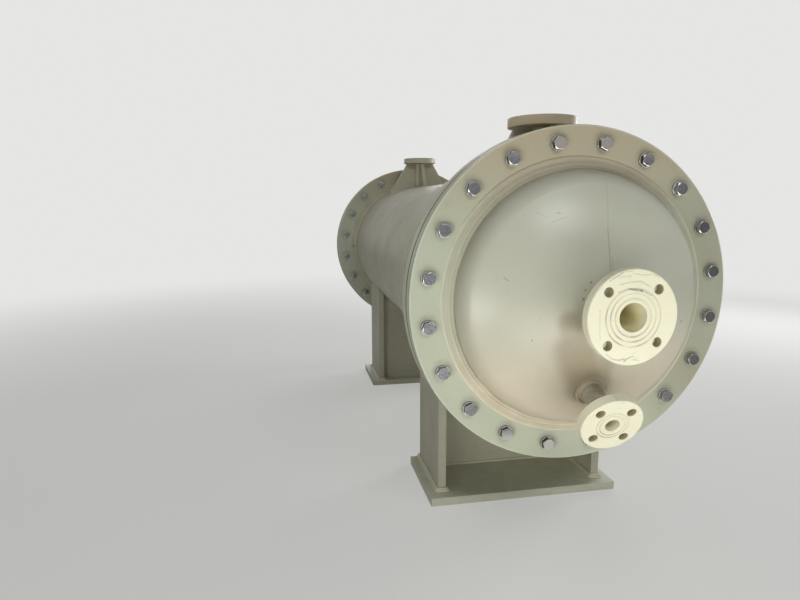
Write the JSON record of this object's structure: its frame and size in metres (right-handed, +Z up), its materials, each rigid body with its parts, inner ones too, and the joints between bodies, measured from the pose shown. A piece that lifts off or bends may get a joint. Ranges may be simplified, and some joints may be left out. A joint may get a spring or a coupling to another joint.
{
  "type": "shell and tube heat exchanger",
  "caption": "Horizontal plastic shell and tube heat exchanger with bolted dished heads, flanged nozzles and two saddles.",
  "frame": {"origin": "on the floor, under the middle of the unit", "axes": "+Y along the shell towards the rear head, +Z up, +X to the right seen from the front head"},
  "size_m": [0.6869, 2.1198, 0.924],
  "materials": {
    "body_plastic": "warm grey beige polypropylene, lightly scuffed",
    "flange_plastic": "greenish beige polypropylene plate, turned",
    "nozzle_plastic": "cream polypropylene, turned",
    "saddle_plastic": "grey beige polypropylene plate, sawn edges",
    "tube_plastic": "beige polypropylene pipe",
    "gasket_rubber": "black sheet rubber",
    "bolt_steel": "bright stainless steel"
  },
  "bodies": {
    "root": {"shell": "body_plastic", "front_dished_head": "body_plastic", "rear_dished_head": "body_plastic", "front_head_weld": "body_plastic", "rear_head_weld": "body_plastic", "inlet_gussets": "body_plastic", "outlet_gussets": "body_plastic", "front_band": "body_plastic", "front_tube_sheet": "flange_plastic", "rear_tube_sheet": "flange_plastic", "front_head_flange": "flange_plastic", "rear_head_flange": "flange_plastic", "front_channel_neck": "nozzle_plastic", "front_channel_flange": "nozzle_plastic", "front_drain_neck": "nozzle_plastic", "front_drain_flange": "nozzle_plastic", "front_saddle_foot": "saddle_plastic", "front_saddle_left": "saddle_plastic", "front_saddle_right": "saddle_plastic", "front_saddle_web": "saddle_plastic", "front_gasket": "gasket_rubber", "rear_channel_neck": "nozzle_plastic", "rear_channel_flange": "nozzle_plastic", "rear_drain_neck": "nozzle_plastic", "rear_drain_flange": "nozzle_plastic", "rear_saddle_foot": "saddle_plastic", "rear_saddle_left": "saddle_plastic", "rear_saddle_right": "saddle_plastic", "rear_saddle_web": "saddle_plastic", "rear_gasket": "gasket_rubber", "inlet_neck": "nozzle_plastic", "inlet_flange": "nozzle_plastic", "outlet_neck": "nozzle_plastic", "outlet_flange": "nozzle_plastic", "tube_bundle": "tube_plastic"}
  },
  "joints": []
}
